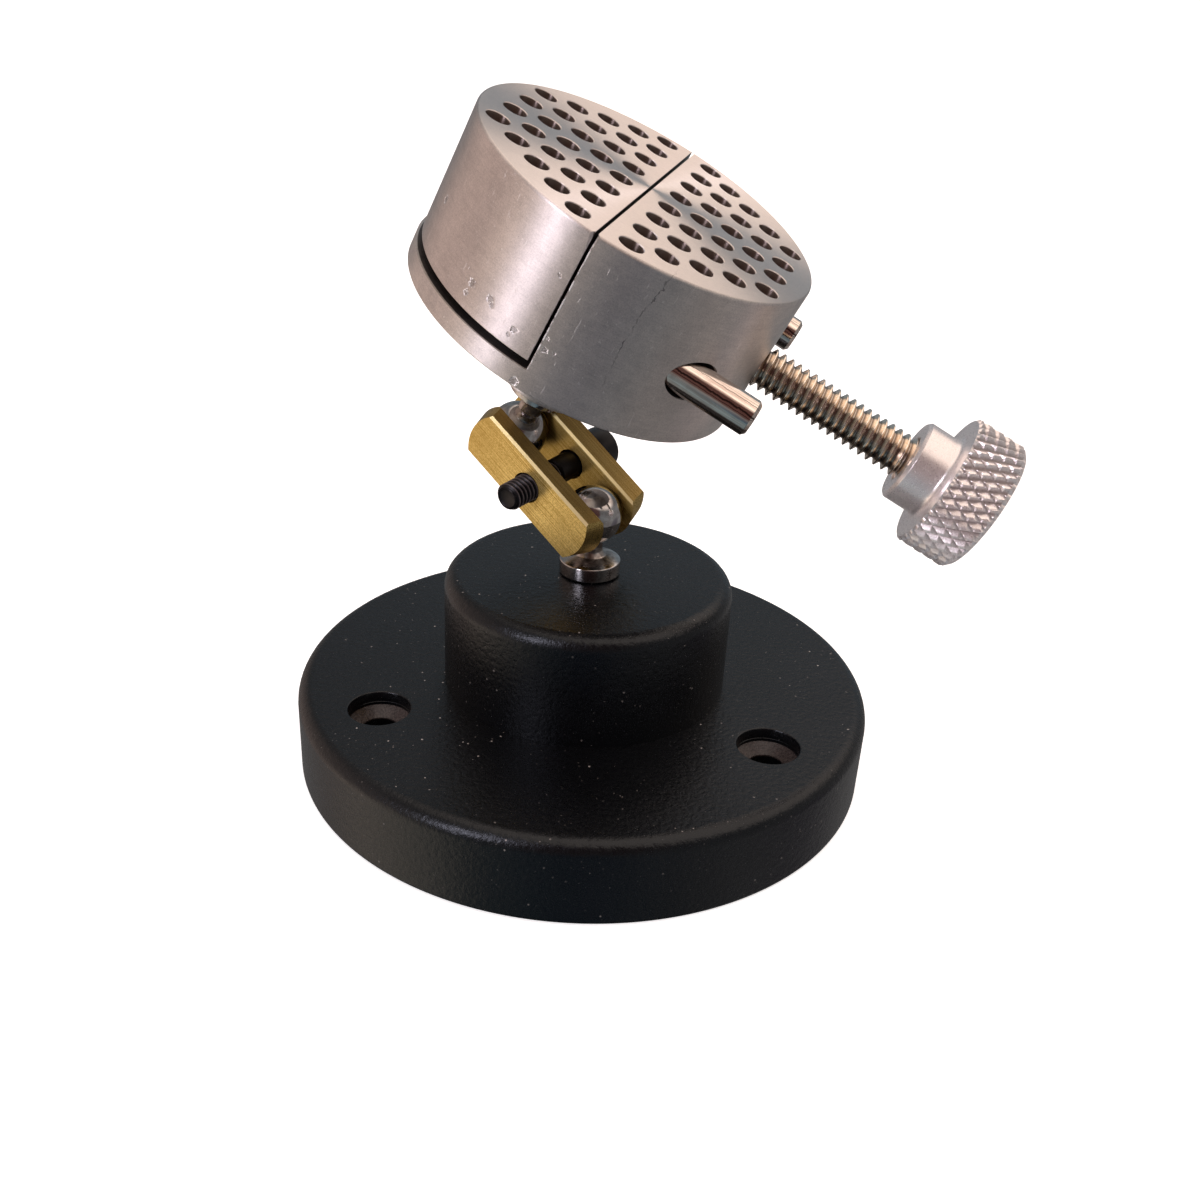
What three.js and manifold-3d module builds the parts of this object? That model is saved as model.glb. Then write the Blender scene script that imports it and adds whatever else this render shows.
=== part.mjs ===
// Bench work holder: a split two-jaw head with pin holes, carried by a clamped double ball joint
// on a round base. Millimetres, +Z up, origin in the middle of the base's underside.
import * as THREE from 'three';
import { mergeVertices } from 'three/addons/utils/BufferGeometryUtils.js';
import Module from 'manifold-3d';

const wasm = await Module();
wasm.setup();

// Base casting
const baseDiameter = 88.9;
const baseThickness = 13.2;
const baseEdgeRound = 2.2;
const baseFootChamfer = 0.8;
const baseBossDiameter = 44;
const baseBossHeight = 17.5;
const baseBossRound = 2.3;
const baseBossFootRound = 1.2;
const baseScrewCircle = 66.6;
const baseScrewCount = 3;
const baseScrewFirstAngle = 85.7;
const baseScrewHeadBore = 9.2;
const baseScrewHeadDepth = 2.25;
const baseScrewPointAngle = 118;
const baseScrewShankBore = 5.4;

// Ball stud, used twice
const ballRadius = 4.47;
const neckRadius = 1.8;
const ballAboveSeat = 9.43;
const collarRadius = 4.64;
const collarHeight = 2.32;
const collarConeRise = 0.8;
const collarConeTopRadius = 2.15;
const neckFootRise = 0.4;
const studShankRadius = 2.9;
const studShankLength = 8.5;
const studShankChamfer = 0.6;

// Link plates
const ballSpacing = 17.18;
const plateWidth = 8.42;
const frontPlateThickness = 3.175;
const rearPlateThickness = 3.97;
const plateGap = 7.4;
const plateInnerEndRadius = 5.82;
const plateInnerEndBeyondBall = 4.53;
const plateOuterEndRadius = 6.78;
const plateOuterEndBeyondBall = 3.44;
const plateEdgeChamfer = 0.4;

// Clamp screw, socket head
const clampThreadRadius = 2.08;
const clampThreadPitch = 0.794;
const clampScrewLength = 19.05;
const clampPlainLength = 8.2;
const clampHeadRadius = 3.43;
const clampHeadHeight = 4.17;
const clampSocketAcross = 3.57;
const clampSocketDepth = 2;
const clampTipChamfer = 0.5;

// Head
const headDiameter = 50.5;
const headHeight = 22.6;
const headEdgeChamfer = 0.6;
const discThickness = 3;
const slotHeight = 1.15;
const splitWidth = 0.92;
const splitCentre = -0.08;
const headBossDiameter = 16;
const headBossHeight = 9.77;
const pinRows = 5;
const pinsInFirstRow = 8;
const pinFirstRow = 4;
const pinRowPitch = 4.07;
const pinPitch = 6.26;
const pinHoleDiameter = 3.3;
const pinHoleDepth = 8.5;

// Jaw screw, guide rods and knob, all at one height in the head
const screwHeight = 10.15;
const screwThreadRadius = 3.1;
const screwThreadPitch = 1.27;
const screwEnd = 57;
const journalRadius = 2.2;
const journalLength = 8;
const grooveRadius = 1.4;
const grooveFromShoulder = 3;
const retainingPinRadius = 0.75;
const retainingPinLength = 8;
const rodRadius = 2.5;
const rodInset = 8.25;
const rodSpacing = headDiameter - 2 * rodInset;
const rodEnd = 27.7;
const rodSeatDepth = 13;
const rodChamfer = 0.5;
const rodBoreClearance = 0.45;
const knobFace = 49;
const knobCollarRadius = 5.95;
const knobCollarLength = 5.2;
const knobCollarFootRound = 0.8;
const knobGripRadius = 9.75;
const knobGripLength = 7.25;
const knobChamfer = 0.45;
const knobEndChamfer = 0.6;
const knobEndDome = 0.6;
const knobShoulderDome = 0.45;
const knurlTeeth = 26;
const knurlPitch = 2.2;
const knurlDepth = 0.35;

// How the photographed holder is set: turns in degrees, travel in millimetres
const linkTurn = { pan: 148.4, lean: 54.64, roll: 174.68 };
const headTurn = { pan: 9.02, lean: 81.33, roll: 16.22 };
const jawClosedBy = 0.5;

// Clearances
const runningGap = 0.3;
const seatGap = 0.1;

// Rounding of the curved faces
const bigSegments = 72;
const midSegments = 32;
const smallSegments = 24;
const pinSegments = 12;
const threadSegments = 12;
const arcSteps = 3;
const ballSteps = 10;
const threadDepthPerPitch = 0.6;
const threadSpareRows = 6;
const threadStartTurns = 1.5;

// What the sizes above set
const baseRadius = baseDiameter / 2;
const baseBossTop = baseThickness + baseBossHeight;
const lowerBallHeight = baseBossTop + ballAboveSeat;
const headRadius = headDiameter / 2;
const headAboveBall = headBossHeight + ballAboveSeat;
const fixedFace = splitCentre + splitWidth / 2;
const movingFace = splitCentre - splitWidth / 2;
const movingBottom = discThickness + slotHeight;
const studBoreRadius = studShankRadius + runningGap;
const studBoreDepth = studShankLength + runningGap;
const screwBoreRadius = screwThreadRadius + runningGap;
const rodBoreRadius = rodRadius + rodBoreClearance;
const past = 1;

const materials = {
  blackPowder: new THREE.MeshStandardMaterial({ color: 0x2a3136, roughness: 0.55, metalness: 0.3 }),
  brass: new THREE.MeshStandardMaterial({ color: 0xb0923f, roughness: 0.35, metalness: 1 }),
  blackOxide: new THREE.MeshStandardMaterial({ color: 0x1c191d, roughness: 0.5, metalness: 0.8 }),
  polishedSteel: new THREE.MeshStandardMaterial({ color: 0xb9b3ae, roughness: 0.15, metalness: 1 }),
  turnedAluminium: new THREE.MeshStandardMaterial({ color: 0xb9aeab, roughness: 0.35, metalness: 1 }),
};

// A closed geometry as a solid that can be joined and cut
function solid(geometry) {
  const bare = geometry.clone();
  bare.deleteAttribute('normal');
  bare.deleteAttribute('uv');
  const merged = mergeVertices(bare, 1e-5);
  return new wasm.Manifold(new wasm.Mesh({
    numProp: 3,
    vertProperties: new Float32Array(merged.attributes.position.array),
    triVerts: new Uint32Array(merged.index.array),
  }));
}

function named(name, body, material) {
  const mesh = body.getMesh();
  const geometry = new THREE.BufferGeometry();
  geometry.setAttribute('position', new THREE.BufferAttribute(mesh.vertProperties, 3));
  geometry.setIndex(new THREE.BufferAttribute(mesh.triVerts, 1));
  geometry.computeVertexNormals();
  const part = new THREE.Mesh(geometry, material);
  part.name = name;
  return part;
}

// A profile of [radius, height] pairs turned about Z
function turned(profile, segments) {
  const points = profile.map(([radius, height]) => new THREE.Vector2(radius, height));
  return solid(new THREE.LatheGeometry(points, segments).rotateX(Math.PI / 2));
}

// Points of a round from one angle to another, in degrees, about [radius, height]
function arc(centre, radius, from, to, steps = arcSteps) {
  return Array.from({ length: steps + 1 }, (_, i) => {
    const angle = THREE.MathUtils.degToRad(from + ((to - from) * i) / steps);
    return [centre[0] + radius * Math.cos(angle), centre[1] + radius * Math.sin(angle)];
  });
}

function cylinderUp(radius, bottom, top, segments) {
  const shape = new THREE.CylinderGeometry(radius, radius, top - bottom, segments);
  return solid(shape.rotateX(Math.PI / 2).translate(0, 0, (bottom + top) / 2));
}

function cylinderAlongX(radius, from, to, y, z, segments) {
  const shape = new THREE.CylinderGeometry(radius, radius, to - from, segments);
  return solid(shape.rotateZ(Math.PI / 2).translate((from + to) / 2, y, z));
}

function block(low, high) {
  const [x, y, z] = low.map((value, i) => (value + high[i]) / 2);
  const size = low.map((value, i) => high[i] - value);
  return solid(new THREE.BoxGeometry(...size).translate(x, y, z));
}

// A V thread about Z, from height zero up, with ragged ends that an envelope trims
function threadCore(radius, pitch, length, segments) {
  const depth = threadDepthPerPitch * pitch;
  const rows = 2 * Math.ceil(length / pitch) + threadSpareRows;
  const start = -threadStartTurns * pitch;
  const positions = [];
  const index = [];
  for (let row = 0; row <= rows; row += 1) {
    for (let step = 0; step < segments; step += 1) {
      const angle = (2 * Math.PI * step) / segments;
      const r = row % 2 ? radius : radius - depth;
      const z = start + pitch * (row / 2 + step / segments);
      positions.push(r * Math.cos(angle), r * Math.sin(angle), z);
    }
  }
  const at = (row, step) => (step < segments ? row * segments + step : (row + 2) * segments);
  for (let row = 0; row < rows - 2; row += 1) {
    for (let step = 0; step < segments; step += 1) {
      const corners = [at(row, step), at(row, step + 1), at(row + 1, step + 1), at(row + 1, step)];
      index.push(corners[0], corners[1], corners[2], corners[0], corners[2], corners[3]);
    }
  }
  const lowest = positions.length / 3;
  positions.push(0, 0, start - pitch);
  positions.push(0, 0, start + pitch * (rows / 2 + 1));
  const rim = (row) => [
    ...Array.from({ length: segments + 1 }, (_, step) => at(row, step)), at(row + 1, 0), at(row, 0)];
  const capLow = rim(0);
  const capHigh = rim(rows - 2);
  for (let i = 0; i + 1 < capLow.length; i += 1) {
    index.push(lowest, capLow[i + 1], capLow[i]);
    index.push(lowest + 1, capHigh[i], capHigh[i + 1]);
  }
  const geometry = new THREE.BufferGeometry();
  geometry.setAttribute('position', new THREE.Float32BufferAttribute(positions, 3));
  geometry.setIndex(index);
  return solid(geometry);
}

// Turns a group by pan about Z, lean about Y, then roll about its own Z
function aim(group, turn) {
  const [pan, lean, roll] = [turn.pan, turn.lean, turn.roll].map(THREE.MathUtils.degToRad);
  const matrix = new THREE.Matrix4().makeRotationZ(pan);
  matrix.multiply(new THREE.Matrix4().makeRotationY(lean));
  matrix.multiply(new THREE.Matrix4().makeRotationZ(roll));
  group.quaternion.setFromRotationMatrix(matrix);
}

// Round black base with a raised boss and three counterbored screw holes
function baseCasting() {
  const bossRadius = baseBossDiameter / 2;
  const edge = arc([baseRadius - baseEdgeRound, baseThickness - baseEdgeRound], baseEdgeRound, 0, 90);
  const foot = arc([bossRadius + baseBossFootRound, baseThickness + baseBossFootRound],
    baseBossFootRound, 270, 180);
  const top = arc([bossRadius - baseBossRound, baseBossTop - baseBossRound], baseBossRound, 0, 90);
  let body = turned([[0, 0], [baseRadius - baseFootChamfer, 0], [baseRadius, baseFootChamfer],
    ...edge, ...foot, ...top, [0, baseBossTop]], bigSegments);
  body = body.subtract(cylinderUp(studBoreRadius, baseBossTop - studBoreDepth, baseBossTop + past,
    smallSegments));
  const wide = baseScrewHeadBore / 2;
  const narrow = baseScrewShankBore / 2;
  const wallFoot = baseThickness - baseScrewHeadDepth;
  const pointDepth = (wide - narrow) / Math.tan(THREE.MathUtils.degToRad(baseScrewPointAngle / 2));
  const hole = turned([[0, -past], [narrow, -past], [narrow, wallFoot - pointDepth], [wide, wallFoot],
    [wide, baseThickness + past], [0, baseThickness + past]], smallSegments);
  for (let i = 0; i < baseScrewCount; i += 1) {
    const angle = THREE.MathUtils.degToRad(baseScrewFirstAngle + (360 * i) / baseScrewCount);
    body = body.subtract(hole.translate([(baseScrewCircle / 2) * Math.cos(angle),
      (baseScrewCircle / 2) * Math.sin(angle), 0]));
  }
  return named('base_casting', body, materials.blackPowder);
}

// Ball, neck, coned collar and threaded shank in one piece, ball at the origin, shank down
function ballStud(name) {
  const neckTop = Math.sqrt(ballRadius ** 2 - neckRadius ** 2);
  const neckAngle = THREE.MathUtils.radToDeg(Math.asin(neckTop / ballRadius));
  const collarTop = -ballAboveSeat + collarHeight;
  const seat = -ballAboveSeat + seatGap;
  const shankEnd = seat - studShankLength;
  const outline = [[0, shankEnd], [studShankRadius - studShankChamfer, shankEnd],
    [studShankRadius, shankEnd + studShankChamfer], [studShankRadius, seat],
    [collarRadius, seat], [collarRadius, collarTop],
    [collarConeTopRadius, collarTop + collarConeRise], [neckRadius, collarTop + collarConeRise + neckFootRise],
    ...arc([0, 0], ballRadius, -neckAngle, 90, ballSteps).slice(0, -1), [0, ballRadius]];
  return named(name, turned(outline, midSegments), materials.polishedSteel);
}

// Straight bar with chamfered long edges, its ends rounded and drawn in towards the outer face.
// The inner face lies at y = 0 and the outer face at y = -thickness; the lower ball is at z = 0.
function plateBlank(plateThickness) {
  const half = plateWidth / 2;
  const c = plateEdgeChamfer;
  const outline = new THREE.Shape([[-half + c, 0], [half - c, 0], [half, -c],
    [half, -plateThickness + c], [half - c, -plateThickness], [-half + c, -plateThickness],
    [-half, -plateThickness + c], [-half, -c]].map(([x, y]) => new THREE.Vector2(x, y)));
  const reach = plateInnerEndBeyondBall + past;
  const length = ballSpacing + 2 * reach;
  const bar = solid(new THREE.ExtrudeGeometry(outline, { depth: length, bevelEnabled: false }));
  const innerCentre = plateInnerEndRadius - plateInnerEndBeyondBall;
  const outerCentre = plateOuterEndRadius - plateOuterEndBeyondBall;
  const widen = ((plateOuterEndRadius - plateInnerEndRadius) * past) / plateThickness;
  const slant = (innerCentre - outerCentre) / plateThickness;
  const cap = new THREE.CylinderGeometry(plateInnerEndRadius - widen, plateOuterEndRadius + widen,
    plateThickness + 2 * past, midSegments);
  cap.applyMatrix4(new THREE.Matrix4().makeShear(0, 0, 0, slant, 0, 0));
  const low = solid(cap.translate(0, -plateThickness / 2, (innerCentre + outerCentre) / 2));
  const high = low.mirror([0, 0, 1]).translate([0, 0, ballSpacing]);
  const middle = block([-half - past, -plateThickness - past, outerCentre],
    [half + past, past, ballSpacing - outerCentre]);
  return bar.translate([0, 0, -reach]).intersect(low.add(high).add(middle));
}

// The two ball pockets and the hole for the clamp screw, in the link's own frame
function linkCuts(holeRadius) {
  const ball = new THREE.SphereGeometry(ballRadius + runningGap, midSegments, smallSegments);
  const reach = plateGap / 2 + rearPlateThickness + past;
  const hole = new THREE.CylinderGeometry(holeRadius, holeRadius, 2 * reach, smallSegments);
  return solid(ball).add(solid(ball.clone().translate(0, 0, ballSpacing)))
    .add(solid(hole.translate(0, 0, ballSpacing / 2)));
}

function linkPlates() {
  const cuts = linkCuts(clampThreadRadius + runningGap);
  const front = plateBlank(frontPlateThickness).translate([0, -plateGap / 2, 0]).subtract(cuts);
  const rear = plateBlank(rearPlateThickness).mirror([0, 1, 0]).translate([0, plateGap / 2, 0]).subtract(cuts);
  return [named('link_plate_front', front, materials.brass),
    named('link_plate_rear', rear, materials.brass)];
}

// Socket-head clamp screw: head outside the rear plate, threaded tip out of the front plate
function clampScrew() {
  const underHead = plateGap / 2 + rearPlateThickness + seatGap;
  const tip = clampScrewLength;
  const c = clampTipChamfer;
  const threaded = tip - clampPlainLength;
  const outside = clampThreadRadius + past;
  const envelope = turned([[0, 0], [outside, 0], [outside, threaded - c - past],
    [clampThreadRadius - c, threaded], [0, threaded]], threadSegments);
  const thread = threadCore(clampThreadRadius, clampThreadPitch, threaded, threadSegments);
  const shank = thread.intersect(envelope).translate([0, 0, clampPlainLength]);
  const head = turned([[0, -clampHeadHeight], [clampHeadRadius - c, -clampHeadHeight],
    [clampHeadRadius, -clampHeadHeight + c], [clampHeadRadius, 0], [0, 0]], smallSegments);
  const socketRadius = clampSocketAcross / Math.sqrt(3);
  const socket = cylinderUp(socketRadius, -clampHeadHeight - past, -clampHeadHeight + clampSocketDepth, 6);
  const plainEnd = clampPlainLength + clampTipChamfer / 2;
  const plain = cylinderUp(clampThreadRadius, -clampTipChamfer, plainEnd, smallSegments);
  const body = shank.add(plain).add(head).subtract(socket);
  const screw = named('link_clamp_screw', body, materials.blackOxide);
  screw.rotation.x = Math.PI / 2;
  screw.position.set(0, underHead, ballSpacing / 2);
  return screw;
}

// The whole round head before it is split
function headBlank() {
  const c = headEdgeChamfer;
  return turned([[0, 0], [headRadius - c, 0], [headRadius, c], [headRadius, headHeight - c],
    [headRadius - c, headHeight], [0, headHeight]], bigSegments);
}

// Staggered rows of pin holes on one side of the split, side 1 or -1
function pinHoles(side) {
  const holes = [];
  for (let row = 0; row < pinRows; row += 1) {
    const count = pinsInFirstRow - row;
    for (let i = 0; i < count; i += 1) {
      const hole = cylinderUp(pinHoleDiameter / 2, headHeight - pinHoleDepth, headHeight + past, pinSegments);
      holes.push(hole.translate([
        side * (pinFirstRow + row * pinRowPitch), ((count - 1) / 2 - i) * pinPitch, 0]));
    }
  }
  return wasm.Manifold.union(holes);
}

// Full disc under both halves, with the boss for the ball stud
function headDisc() {
  const c = headEdgeChamfer;
  const keep = block([-headRadius - past, -headRadius - past, -past],
    [headRadius + past, headRadius + past, discThickness]);
  const boss = turned([[0, -headBossHeight], [headBossDiameter / 2 - c, -headBossHeight],
    [headBossDiameter / 2, -headBossHeight + c], [headBossDiameter / 2, discThickness / 2],
    [0, discThickness / 2]], midSegments);
  const studBore = cylinderUp(studBoreRadius, -headBossHeight - past, -headBossHeight + studBoreDepth,
    smallSegments);
  const body = headBlank().intersect(keep).add(boss).subtract(studBore);
  return named('head_disc', body, materials.turnedAluminium);
}

// Larger half of the head, on the disc, with bores for the screw and the rods
function fixedJaw() {
  const keep = block([fixedFace, -headRadius - past, discThickness + seatGap],
    [headRadius + past, headRadius + past, headHeight + past]);
  let body = headBlank().intersect(keep).subtract(pinHoles(1));
  body = body.subtract(cylinderAlongX(screwBoreRadius, movingFace, headRadius + past, 0, screwHeight,
    smallSegments));
  for (const y of [-rodSpacing / 2, rodSpacing / 2]) {
    body = body.subtract(cylinderAlongX(rodBoreRadius, movingFace, headRadius + past, y, screwHeight,
      smallSegments));
  }
  return named('fixed_jaw', body, materials.turnedAluminium);
}

// Smaller half, cut free of the disc, with blind seats for the rods, the screw end and two pins
function movingJaw() {
  const keep = block([-headRadius - past, -headRadius - past, movingBottom],
    [movingFace, headRadius + past, headHeight + past]);
  let body = headBlank().intersect(keep).subtract(pinHoles(-1));
  const pocket = journalLength + runningGap;
  body = body.subtract(cylinderAlongX(journalRadius + runningGap, movingFace - pocket, movingFace + past,
    0, screwHeight, smallSegments));
  for (const side of [-1, 1]) {
    body = body.subtract(cylinderAlongX(rodRadius + seatGap, movingFace - rodSeatDepth - runningGap,
      movingFace + past, (side * rodSpacing) / 2, screwHeight, smallSegments));
    const pinHole = cylinderUp(retainingPinRadius + seatGap, movingBottom - past,
      movingBottom + retainingPinLength + runningGap, pinSegments);
    body = body.subtract(pinHole.translate([retainingPinX(), side * retainingPinY(), 0]));
  }
  return named('moving_jaw', body, materials.turnedAluminium);
}

function retainingPinX() {
  return movingFace + seatGap - grooveFromShoulder - retainingPinRadius - runningGap;
}

function retainingPinY() {
  return grooveRadius + runningGap + retainingPinRadius;
}

// Hidden pins that sit in the screw's groove and carry the jaw back when the screw is undone
function retainingPin(name, side) {
  const pin = cylinderUp(retainingPinRadius, movingBottom + seatGap, movingBottom + retainingPinLength,
    pinSegments);
  return named(name, pin.translate([retainingPinX(), side * retainingPinY(), 0]), materials.polishedSteel);
}

function guideRod(name, side) {
  const start = movingFace - rodSeatDepth;
  const length = rodEnd - jawClosedBy - start;
  const c = rodChamfer;
  const rod = named(name, turned([[0, 0], [rodRadius - c, 0], [rodRadius, c], [rodRadius, length - c],
    [rodRadius - c, length], [0, length]], smallSegments), materials.polishedSteel);
  rod.rotation.y = Math.PI / 2;
  rod.position.set(start, (side * rodSpacing) / 2, screwHeight);
  return rod;
}

// Jaw screw along its own Z: journal with groove, shoulder at zero, thread, end inside the knob
function jawScrew() {
  const shoulder = movingFace + seatGap;
  const length = screwEnd - jawClosedBy - shoulder;
  const threaded = knobFace - jawClosedBy - shoulder + past;
  const c = clampTipChamfer;
  const outside = screwThreadRadius + past;
  const envelope = turned([[0, 0], [screwThreadRadius - c, 0], [outside, c + past],
    [outside, threaded], [0, threaded]], threadSegments);
  const thread = threadCore(screwThreadRadius, screwThreadPitch, threaded, threadSegments);
  const grooveWidth = 2 * (retainingPinRadius + runningGap);
  const grooveEnd = grooveFromShoulder + grooveWidth;
  const plain = turned([[0, -journalLength], [journalRadius - c, -journalLength],
    [journalRadius, -journalLength + c], [journalRadius, -grooveEnd], [grooveRadius, -grooveEnd],
    [grooveRadius, -grooveFromShoulder], [journalRadius, -grooveFromShoulder],
    [journalRadius, length], [0, length]], smallSegments);
  const screw = named('jaw_screw', thread.intersect(envelope).add(plain), materials.polishedSteel);
  screw.rotation.y = Math.PI / 2;
  screw.position.set(shoulder, 0, screwHeight);
  return screw;
}

// A band of diamond teeth about Z, from height zero to length
function knurledBand(radius, length) {
  const steps = 2 * knurlTeeth;
  const rows = 2 * Math.round(length / knurlPitch);
  const positions = [];
  const index = [];
  for (let row = 0; row <= rows; row += 1) {
    for (let step = 0; step < steps; step += 1) {
      const angle = (2 * Math.PI * step) / steps;
      const inside = row > 0 && row < rows && (row + step) % 2 === 0;
      const r = inside ? radius : radius - knurlDepth;
      positions.push(r * Math.cos(angle), r * Math.sin(angle), (length * row) / rows);
    }
  }
  const centre = positions.length / 3;
  positions.push(0, 0, 0, 0, 0, length);
  for (let step = 0; step < steps; step += 1) {
    const next = (step + 1) % steps;
    for (let row = 0; row < rows; row += 1) {
      const above = (row + 1) * steps;
      const corners = [row * steps + step, row * steps + next, above + next, above + step];
      index.push(corners[0], corners[1], corners[2], corners[0], corners[2], corners[3]);
    }
    index.push(centre, next, step);
    index.push(centre + 1, rows * steps + step, rows * steps + next);
  }
  const geometry = new THREE.BufferGeometry();
  geometry.setAttribute('position', new THREE.Float32BufferAttribute(positions, 3));
  geometry.setIndex(index);
  return solid(geometry);
}

function thumbKnob() {
  const c = knobChamfer;
  const foot = knobCollarFootRound;
  const gripStart = knobCollarLength;
  const gripEnd = gripStart + knobGripLength;
  const bandRadius = knobGripRadius - knurlDepth;
  const core = turned([[0, 0], [knobCollarRadius - c, 0], [knobCollarRadius, c],
    ...arc([knobCollarRadius + foot, gripStart - foot], foot, 180, 90), [bandRadius - c, gripStart],
    [bandRadius, gripStart + c], [bandRadius, gripEnd], [bandRadius - knobEndChamfer, gripEnd + knobEndChamfer],
    [bandRadius / 2, gripEnd + knobEndChamfer + knobShoulderDome],
    [0, gripEnd + knobEndChamfer + knobEndDome]], midSegments);
  const band = knurledBand(knobGripRadius, knobGripLength - c).translate([0, 0, gripStart + c]);
  const bore = cylinderUp(screwThreadRadius + runningGap, -past, past + seatGap, smallSegments);
  const plainBore = cylinderUp(journalRadius + seatGap, -past, screwEnd - knobFace + seatGap, smallSegments);
  const knob = named('thumb_knob', core.add(band).subtract(bore).subtract(plainBore),
    materials.turnedAluminium);
  knob.rotation.y = Math.PI / 2;
  knob.position.set(knobFace - jawClosedBy, 0, screwHeight);
  return knob;
}

const holder = new THREE.Group();
const lowerStud = ballStud('base_ball_stud');
lowerStud.position.z = lowerBallHeight;
holder.add(baseCasting(), lowerStud);

const link = new THREE.Group();
link.position.z = lowerBallHeight;
aim(link, linkTurn);
link.add(...linkPlates(), clampScrew());
holder.add(link);

const head = new THREE.Group();
head.position.z = ballSpacing;
aim(head, headTurn);
link.add(head);

const upperStud = ballStud('head_ball_stud');
upperStud.rotation.x = Math.PI;
head.add(upperStud);

const jaws = new THREE.Group();
jaws.position.z = headAboveBall;
jaws.add(headDisc(), fixedJaw());
head.add(jaws);

const travelling = new THREE.Group();
travelling.position.x = jawClosedBy;
travelling.add(movingJaw(), guideRod('guide_rod_front', -1), guideRod('guide_rod_rear', 1));
travelling.add(retainingPin('screw_retaining_pin_front', -1), retainingPin('screw_retaining_pin_rear', 1));
travelling.add(jawScrew(), thumbKnob());
jaws.add(travelling);

export default holder;
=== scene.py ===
import bpy
import math
from mathutils import Matrix, Vector


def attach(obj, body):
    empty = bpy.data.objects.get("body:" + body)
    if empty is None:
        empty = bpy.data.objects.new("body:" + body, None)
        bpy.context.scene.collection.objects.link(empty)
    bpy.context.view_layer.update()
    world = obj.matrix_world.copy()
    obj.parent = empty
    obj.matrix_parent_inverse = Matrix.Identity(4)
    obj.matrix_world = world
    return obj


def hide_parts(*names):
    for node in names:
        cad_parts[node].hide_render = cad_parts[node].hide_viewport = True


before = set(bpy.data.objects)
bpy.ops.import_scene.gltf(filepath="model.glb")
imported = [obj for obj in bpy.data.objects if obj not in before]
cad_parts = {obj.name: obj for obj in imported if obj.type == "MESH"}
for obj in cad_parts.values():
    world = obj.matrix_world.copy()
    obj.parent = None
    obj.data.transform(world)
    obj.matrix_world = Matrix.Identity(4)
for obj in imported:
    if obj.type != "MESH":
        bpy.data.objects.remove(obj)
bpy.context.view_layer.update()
scene = bpy.context.scene
MM = 0.001
TAU = 2 * math.pi
RIGHT_ANGLE = math.pi / 2

# Sizes in millimetres and angles in degrees, which follow the solids

BASE_RADIUS = 44.45
BASE_TOP = 13.2
BOSS_RADIUS = 22
BOSS_TOP = 30.7
HOLE_CIRCLE = 33.3
FIRST_HOLE = 85.7
HOLES = 3
HOLE_THROUGH = 2.7
HOLE_WALL = 4.6
HOLE_SEAT = 10.97

BALL_RADIUS = 4.47
BALL_POCKET = 4.77
BALL_OVER_SEAT = 9.43
NECK_RADIUS = 1.8
COLLAR_RADIUS = 4.64
COLLAR_TALL = 2.32
SEAT_GAP = 0.1
SHANK_RADIUS = 2.9
SHANK_LONG = 8.4
SHANK_BORE = 3.2

BALL_SPACING = 17.18
LINK_TURN = (148.4, 54.64, 174.68)
HEAD_TURN = (9.02, 81.33, 16.22)
PLATE_INNER = 3.7
PLATE_HALF_WIDTH = 4.21
FRONT_PLATE = 3.175
REAR_PLATE = 3.97
CLAMP_RADIUS = 2.08
CLAMP_ROOT = 1.62
CLAMP_PITCH = 0.794
CLAMP_LONG = 19.03
CLAMP_HEAD_RADIUS = 3.43
CLAMP_HEAD_TALL = 4.17
CLAMP_BORE = 2.36
SOCKET_RADIUS = 2.06
SOCKET_DEEP = 2.0

HEAD_RADIUS = 25.25
HEAD_TOP = 22.6
HEAD_BOSS_RADIUS = 8
HEAD_BOSS_LONG = 9.77
DISC_TOP = 3.0
JAW_BOTTOM = 4.15
FIXED_FACE = 0.38
MOVING_FACE = -0.54
JAW_SHIFT = 0.5
PIN_RADIUS = 1.68
PIN_PITCH = 6.26
PIN_ROW_PITCH = 4.07
FIRST_PIN_ROW = 4.0
PIN_ROWS = 5
LONGEST_PIN_ROW = 8

SCREW_HEIGHT = 10.15
SCREW_RADIUS = 3.1
SCREW_ROOT = 2.36
SCREW_PITCH = 1.27
SCREW_END = 57
SCREW_BORE = 3.4
JOURNAL_RADIUS = 2.2
ROD_RADIUS = 2.5
ROD_END = 27.7
ROD_IN_JAW = 13
ROD_BORE = 2.95
ROD_SPREAD = 17

KNOB_AT = 49
KNOB_RADIUS = 9.75
KNOB_COLLAR = 5.95
GRIP_LOW = 5.2
GRIP_HIGH = 12.45
KNURLS_AROUND = 36
KNURL_PITCH = 1.62
KNURL_DEEP = 0.60
CROSS_DEEP = 0.50


# Where the bodies are in the photograph

def turn(pan, lean, roll):
    return (Matrix.Rotation(math.radians(pan), 4, "Z") @ Matrix.Rotation(math.radians(lean), 4, "Y")
            @ Matrix.Rotation(math.radians(roll), 4, "Z"))


def shift(x, y, z):
    return Matrix.Translation((x, y, z))


ALONG_X = Matrix.Rotation(RIGHT_ANGLE, 4, "Y")
TOWARDS_FRONT = Matrix.Rotation(RIGHT_ANGLE, 4, "X")
UPSIDE_DOWN = Matrix.Rotation(math.pi, 4, "X")
BASE = Matrix.Identity(4)
BALL_LOW = shift(0, 0, BOSS_TOP + BALL_OVER_SEAT)
LINK = BALL_LOW @ turn(*LINK_TURN)
BALL_HIGH = LINK @ shift(0, 0, BALL_SPACING) @ turn(*HEAD_TURN)
HEAD = BALL_HIGH @ shift(0, 0, BALL_OVER_SEAT + HEAD_BOSS_LONG)
JAW = HEAD @ shift(JAW_SHIFT, 0, 0)


# Mesh making

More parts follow.
